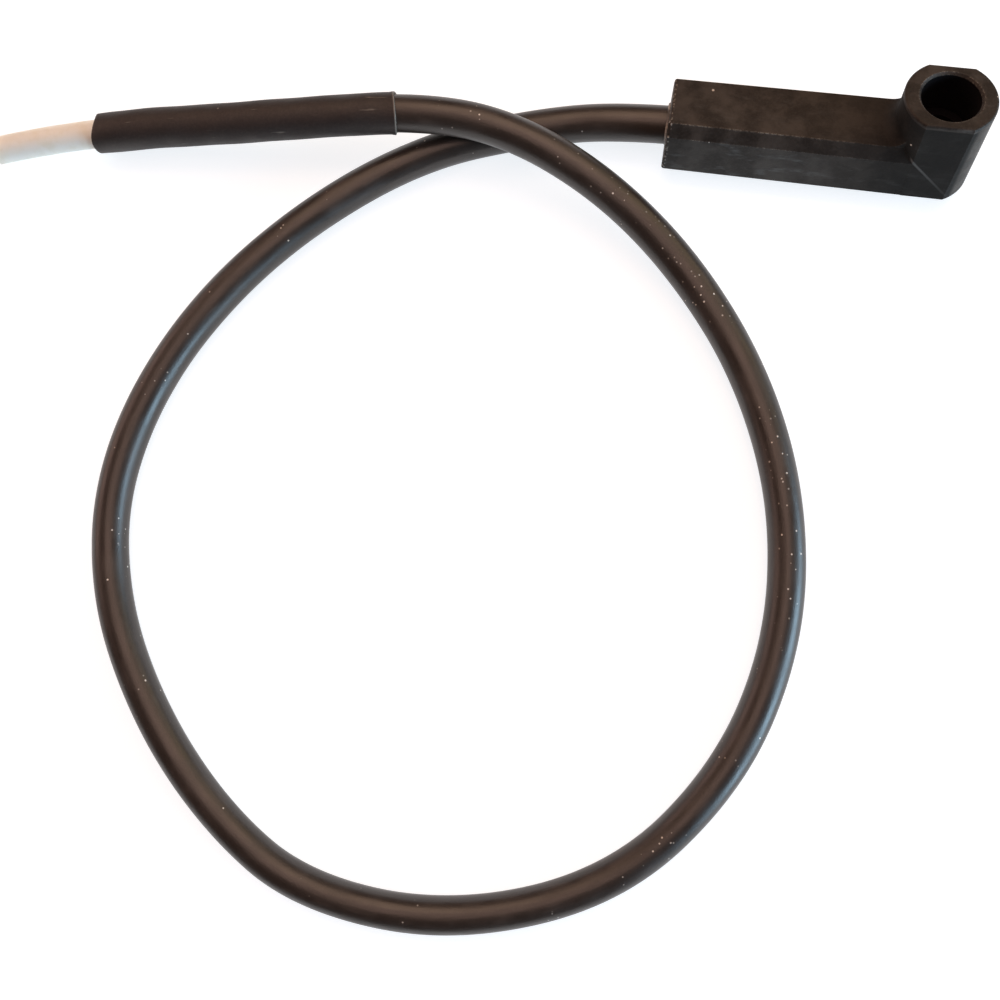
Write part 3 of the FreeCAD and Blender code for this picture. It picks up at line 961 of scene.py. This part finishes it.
@dataclass
class Skin:
    """Makes meshes that follow a line, as a lathe would if the line were straight."""

    line: Line
    sides: int = 48
    step: float = 1.0 * MM

    def stations(self, profile: Profile, closed: bool) -> Profile:
        """Divides a profile's long runs, so that the mesh follows the line's bends.

        Args:
            profile: (distance along the line, radius) points.
            closed: whether the last point joins the first.

        Returns:
            The profile with more points.
        """
        made: Profile = []
        following = profile[1:] + (profile[:1] if closed else [])
        for (start, radius), (end, next_radius) in zip(profile, following):
            count = max(1, math.ceil(abs(end - start) / self.step))
            for index in range(count):
                share = index / count
                made.append((start + share * (end - start), radius + share * (next_radius - radius)))
        if not closed:
            made.append(profile[-1])
        return made

    def piece(
        self, name: str, profile: Profile, closed: bool, shape: Shape | None = None, cut: Shape | None = None
    ) -> bpy.types.Object:
        """Builds a mesh from a profile that goes round the line.

        Args:
            name: the piece's name.
            profile: (distance along the line, radius) points; a radius of 0 closes an end.
            closed: whether the profile is a ring, as a tube's wall is.
            shape: adds to the radius at a distance and an angle, or None.
            cut: moves a point along the line, at a distance and an angle, or None.

        Returns:
            The new object.
        """
        angles = np.linspace(0.0, 2 * math.pi, self.sides, endpoint=False)
        verts: list[tuple[float, ...]] = []
        laid: list[Triple] = []
        rings: list[list[int]] = []
        for along, radius in self.stations(profile, closed):
            square = self.line.at(along)
            turns = angles if radius > 0 else angles[:1]
            first = len(verts)
            for angle in turns:
                centre, side, up = self.line.at(along + cut(along, angle)) if cut else square
                grown = radius + (shape(along, angle) if shape and radius > 0 else 0.0)
                offset = grown * (math.cos(angle) * side + math.sin(angle) * up)
                verts.append(tuple(centre + offset))
                laid.append((along, grown * math.cos(angle), grown * math.sin(angle)))
            rings.append(list(range(first, len(verts))))
        faces = self.faces(rings, closed)
        mesh = bpy.data.meshes.new(name)
        mesh.from_pydata(verts, [], faces)
        mesh.polygons.foreach_set("use_smooth", [True] * len(faces))
        skin = mesh.attributes.new(Space.STRAIGHTENED.value, "FLOAT_VECTOR", "POINT")
        skin.data.foreach_set("vector", np.array(laid).ravel())
        mesh.update()
        made = bpy.data.objects.new(name, mesh)
        bpy.context.scene.collection.objects.link(made)
        return made

    def faces(self, rings: Sequence[list[int]], closed: bool) -> list[tuple[int, ...]]:
        """Joins each ring of vertices to the next.

        Args:
            rings: the vertices of each ring; a ring of one vertex is a closed tip.
            closed: whether the last ring joins the first.

        Returns:
            The faces, with their normals outwards.
        """
        made: list[tuple[int, ...]] = []
        following = list(rings[1:]) + (list(rings[:1]) if closed else [])
        for ring, other in zip(rings, following):
            for index in range(self.sides):
                after = (index + 1) % self.sides
                if len(ring) == 1 and len(other) > 1:
                    made.append((ring[0], other[after], other[index]))
                elif len(other) == 1 and len(ring) > 1:
                    made.append((ring[index], ring[after], other[0]))
                elif len(ring) > 1:
                    made.append((ring[index], ring[after], other[after], other[index]))
        return made


def dress(piece: bpy.types.Object, finish: Finish) -> None:
    """Gives a piece its material and slot, and lets it ride.

    Args:
        piece: the object.
        finish: what makes its material.
    """
    piece.data.materials.clear()
    piece.data.materials.append(finish.material())
    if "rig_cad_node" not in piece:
        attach(piece, BODY)


def report(pieces: Sequence[bpy.types.Object]) -> None:
    """Logs each piece with its material."""
    for piece in pieces:
        LOG.info("%s: %s, %d faces", piece.name, piece.data.materials[0].name, len(piece.data.polygons))


# --- the cable and what is on it ---

@dataclass
class FarEnd:
    """Distances back from the cable's far end at which its layers stop, in metres."""

    tube: float = 28.0 * MM
    insulation: float = 14.5 * MM
    conductor: float = 10.5 * MM
    sleeve_mouth: float = 22.4 * MM
    sleeve_length: float = 61.5 * MM


@dataclass(frozen=True)
class Layer:
    """A layer under the jacket: its object and CAD node, its radii in metres, and its slot."""

    name: str
    node: str
    outer: float
    inner: float
    slot: Slot


@dataclass
class Cable:
    """The silicone cable: jacket, braid, insulation and conductor."""

    line: Line
    ends: FarEnd
    radius: float = 3.5 * MM
    jacket_bore: float = 2.5 * MM
    braid: Layer = Layer("braid", "cable_braid", 2.45 * MM, 2.3 * MM, Slot.BRAID)
    insulation: Layer = Layer("insulation", "cable_insulation", 2.25 * MM, 0.95 * MM, Slot.INSULATION)
    conductor: Layer = Layer("conductor", "cable_conductor", 0.9 * MM, 0.0, Slot.COPPER)
    screw_depth: float = 9.1 * MM

    @property
    def jacket_end(self) -> float:
        """Where the jacket stops, in metres along the line."""
        return self.line.length - self.ends.tube

    def wander(self, along: float, angle: float) -> float:
        """The jacket's slight unevenness, as an extruded silicone has."""
        slow = 0.02 * math.sin(along / (13 * MM)) + 0.015 * math.sin(along / (5.1 * MM) + 2 * angle)
        return slow * MM

    def build(self) -> list[bpy.types.Object]:
        """Builds and dresses the four layers.

        Returns:
            The jacket first, then what lies under it.
        """
        covered = self.line.length - self.ends.insulation
        return [
            self.jacket(),
            self.tube(self.braid, self.jacket_end),
            self.tube(self.insulation, covered),
            self.core(),
        ]

    def jacket(self) -> bpy.types.Object:
        """Builds and dresses the jacket.

        Returns:
            The new object.
        """
        profile = self.wall(self.jacket_end, self.radius, self.jacket_bore)
        jacket = Skin(self.line, sides=48, step=0.9 * MM).piece("cable", profile, True, self.wander)
        dress(jacket, JacketSilicone())
        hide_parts("cable_jacket")
        return jacket

    def tube(self, layer: Layer, end: float) -> bpy.types.Object:
        """Builds and dresses a hollow layer under the jacket.

        Args:
            layer: which one.
            end: where it stops, in metres along the line.

        Returns:
            The new object.
        """
        return self.under(layer, self.wall(end, layer.outer, layer.inner), True)

    def core(self) -> bpy.types.Object:
        """Builds and dresses the conductor, a rod that starts at the screw's tip.

        Returns:
            The new object.
        """
        start = self.screw_depth
        end = self.line.length - self.ends.conductor
        radius = self.conductor.outer
        return self.under(self.conductor, [(start, 0.0), (start, radius), (end, radius), (end, 0.0)], False)

    def under(self, layer: Layer, profile: Profile, closed: bool) -> bpy.types.Object:
        """Builds and dresses a layer from its profile.

        Args:
            layer: which one.
            profile: (distance along the line, radius) points.
            closed: whether the profile is a ring.

        Returns:
            The new object.
        """
        made = Skin(self.line, sides=24, step=2.5 * MM).piece(layer.name, profile, closed)
        dress(made, INNER_FINISHES[layer.slot])
        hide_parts(layer.node)
        return made

    @staticmethod
    def wall(end: float, outer: float, inner: float) -> Profile:
        """A tube's wall, from the line's start, as a closed profile."""
        return [(0.0, inner), (0.0, outer), (end, outer), (end, inner)]


@dataclass
class ShrinkSleeve:
    """The shrunk sleeve, with a crisp lip at one end and a drawn-in mouth at the other."""

    line: Line
    ends: FarEnd
    radius: float = 3.9 * MM
    bore: float = 3.56 * MM
    mouth_bore: float = 2.8 * MM
    lip_width: float = 0.35 * MM
    lip_rise: float = 0.10 * MM
    slant: float = 1.1 * MM
    slant_reach: int = 6
    mouth_slants_to: float = math.radians(300)
    lip_slants_to: float = math.radians(235)

    @property
    def mouth(self) -> float:
        """Where the sleeve ends, in metres along the line."""
        return self.line.length - self.ends.sleeve_mouth

    @property
    def lip(self) -> float:
        """Where the sleeve starts, in metres along the line."""
        return self.mouth - self.ends.sleeve_length

    def lumps(self, along: float, angle: float) -> float:
        """The sleeve's unevenness over what it holds."""
        soft = 0.03 * math.sin(along / (4.3 * MM) + 1.3 * math.cos(angle))
        return (soft + 0.03 * math.sin(along / (1.9 * MM) + 3 * angle)) * MM

    def cut(self, along: float, angle: float) -> float:
        """How far the two hand-cut ends stray from square.

        Args:
            along: the distance along the line.
            angle: the angle round it.

        Returns:
            The shift along the line, in metres.
        """
        share = (self.mouth - along) / self.ends.sleeve_length
        at_mouth = max(0.0, math.cos(angle - self.mouth_slants_to)) ** 2 * (1 - share) ** self.slant_reach
        at_lip = max(0.0, math.cos(angle - self.lip_slants_to)) * max(0.0, share) ** self.slant_reach
        return -self.slant * (at_mouth + at_lip)

    def profile(self) -> Profile:
        """The sleeve's wall from its lip to its mouth and back along its bore.

        Returns:
            (distance along the line, radius) points.
        """
        near = self.lip
        far = self.mouth
        return [
            (near, self.bore),
            (near, self.radius + 0.02 * MM),
            (near + 0.08 * MM, self.radius + self.lip_rise),
            (near + self.lip_width, self.radius + self.lip_rise),
            (near + 3 * self.lip_width, self.radius),
            (far - 3.4 * MM, self.radius),
            (far - 0.12 * MM, self.radius - 0.08 * MM),
            (far, self.radius - 0.16 * MM),
            (far, self.mouth_bore),
            (far - 2.0 * MM, self.mouth_bore),
            (far - 3.2 * MM, self.bore),
        ]

    def build(self) -> bpy.types.Object:
        """Builds and dresses the sleeve.

        Returns:
            The new object.
        """
        skin = Skin(self.line, sides=64, step=0.8 * MM)
        sleeve = skin.piece("sleeve", self.profile(), True, self.lumps, self.cut)
        dress(sleeve, ShrinkTubing(self.lip))
        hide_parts("shrink_sleeve")
        return sleeve


@dataclass
class TerminalTube:
    """The pale tube at the far end, with softly rounded rims."""

    line: Line
    ends: FarEnd
    radius: float = 2.75 * MM
    bore: float = 2.3 * MM
    rim: float = 0.15 * MM
    gap_to_jacket: float = 0.05 * MM

    def build(self) -> bpy.types.Object:
        """Builds and dresses the tube.

        Returns:
            The new object.
        """
        end = self.line.length
        start = end - self.ends.tube + self.gap_to_jacket
        rim = self.rim
        profile = [
            (start, self.bore),
            (start, self.radius),
            (end - rim, self.radius),
            (end, self.radius - rim),
            (end, self.bore + rim),
            (end - rim, self.bore),
        ]
        tube = Skin(self.line, sides=48, step=0.8 * MM).piece("end_tube", profile, True)
        dress(tube, PaleSilicone())
        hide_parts("terminal_tube")
        return tube


# --- the cap ---

@dataclass
class ElbowCap:
    """The moulded cap and the contact pieces in it, which keep their own shapes."""

    inside: dict[str, Slot] = field(default_factory=lambda: {
        "contact_socket": Slot.BRASS,
        "socket_snap_ring": Slot.STEEL,
        "contact_spring": Slot.STEEL,
        "resistor_body": Slot.CERAMIC,
        "resistor_cap_cable_side": Slot.BRASS,
        "resistor_cap_tower_side": Slot.BRASS,
        "cable_screw": Slot.STEEL,
        "entry_sealant": Slot.SEALANT,
        "receptacle": Slot.BRASS,
    })

    def build(self) -> list[bpy.types.Object]:
        """Dresses the cap and what it holds.

        Returns:
            The cap first, then the pieces in it.
        """
        cap = frame["nodes"]["cap_body"]
        dress(cap, CapMoulding(Bore.from_record("electrode_bore")))
        held = [frame["nodes"][node] for node in self.inside]
        for piece, slot in zip(held, self.inside.values()):
            dress(piece, INNER_FINISHES[slot])
        return [cap, *held]


# --- the studio ---

@dataclass(frozen=True)
class Softbox:
    """A large soft light: where it is, what it faces, its size, power and colour."""

    name: str
    place: Triple
    target: Triple
    size: tuple[float, float]
    power: float
    colour: Colour

    def build(self) -> bpy.types.Object:
        """Adds the light.

        Returns:
            The lamp.
        """
        light = bpy.data.lights.new(self.name, "AREA")
        light.shape = "RECTANGLE"
        light.size, light.size_y = self.size
        light.energy = self.power
        light.color = self.colour
        lamp = bpy.data.objects.new(self.name, light)
        lamp.location = self.place
        aim = Vector(self.target) - Vector(self.place)
        lamp.rotation_euler = aim.to_track_quat("-Z", "Y").to_euler()
        bpy.context.scene.collection.objects.link(lamp)
        return lamp


@dataclass
class Studio:
    """The pale floor, the soft lights and the camera."""

    floor_width: float = 4.0
    floor_grain: float = 30 * MM
    floor_shades: tuple[Colour, Colour] = ((0.41, 0.44, 0.45), (0.43, 0.46, 0.47))
    floor_roughness: float = 0.8
    floor_glow: tuple[float, ...] = (0.95, 0.97, 1.0, 1.0)
    floor_glow_strength: float = 0.82
    room_colour: tuple[float, ...] = (1.0, 0.86, 0.80, 1.0)
    room_strength: float = 0.071
    camera_place: Triple = (-0.02625, -0.09665, 0.23090)
    camera_turn_degrees: Triple = (5.757, 5.198, 8.343)
    lens: float = 43.49
    lights: tuple[Softbox, ...] = (
        Softbox("lamp", (-0.05, 0.40, 0.70), (-0.05, -0.05, 0.0), (0.9, 0.5), 3.74, (1.0, 0.676, 0.484)),
        Softbox("ceiling", (-0.05, 0.0, 0.95), (-0.05, -0.05, 0.0), (0.6, 0.6), 2.2, (1.0, 0.656, 0.541)),
        Softbox("window", (0.60, -0.20, 0.16), (-0.05, -0.08, 0.02), (0.6, 0.30), 6.04, (0.537, 0.795, 1.0)),
        Softbox("wall", (-0.75, 0.05, 0.30), (-0.05, -0.08, 0.0), (0.6, 0.4), 1.5, (1.0, 0.656, 0.552)),
        Softbox("corner", (0.45, 0.45, 0.35), (-0.05, -0.08, 0.0), (0.5, 0.4), 0.85, (1.0, 0.76, 0.44)),
    )

    def build(self) -> None:
        """Sets up everything that isn't the object."""
        self.floor()
        self.camera()
        self.world()
        for light in self.lights:
            light.build()

    def floor(self) -> None:
        """Lays a plain white floor, which glows so that shadows stay faint."""
        half = self.floor_width / 2
        mesh = bpy.data.meshes.new("floor")
        corners = [(-half, -half, 0.0), (half, -half, 0.0), (half, half, 0.0), (-half, half, 0.0)]
        mesh.from_pydata(corners, [], [(0, 1, 2, 3)])
        ground = bpy.data.objects.new("floor", mesh)
        bpy.context.scene.collection.objects.link(ground)
        made = Recipe("floor_white")
        paper = made.noise(made.place(Space.OBJECT), self.floor_grain)
        made.shader.inputs["Emission Color"].default_value = self.floor_glow
        made.shader.inputs["Emission Strength"].default_value = self.floor_glow_strength
        mesh.materials.append(made.finish(made.mix(paper, *self.floor_shades), self.floor_roughness))

    def camera(self) -> None:
        """Places the camera nearly overhead."""
        data = bpy.data.cameras.new("camera")
        data.lens = self.lens
        data.clip_start = 5 * MM
        camera = bpy.data.objects.new("camera", data)
        camera.location = self.camera_place
        camera.rotation_euler = Euler([math.radians(angle) for angle in self.camera_turn_degrees])
        bpy.context.scene.collection.objects.link(camera)
        bpy.context.scene.camera = camera

    def world(self) -> None:
        """Fills the room with dim warm light."""
        world = bpy.data.worlds.new("room")
        bpy.context.scene.world = world
        world.use_nodes = True
        back = world.node_tree.nodes["Background"]
        back.inputs["Color"].default_value = self.room_colour
        back.inputs["Strength"].default_value = self.room_strength
        bpy.context.scene.view_settings.view_transform = "Standard"


def main() -> None:
    """Builds the lead around the frame."""
    logging.basicConfig(level=logging.INFO, format="%(name)s: %(message)s")
    Studio().build()
    route = Route()
    line = route.line()
    ends = FarEnd()
    cable = Cable(line, ends)
    jacket, *layers = cable.build()
    report([jacket, *layers])
    sleeve = ShrinkSleeve(line, ends).build()
    tube = TerminalTube(line, ends).build()
    report([sleeve, tube])
    report(ElbowCap().build())
    line.until(cable.jacket_end)
    LOG.info("line length %.4f m", line.length)


if __name__ == "__main__":
    main()
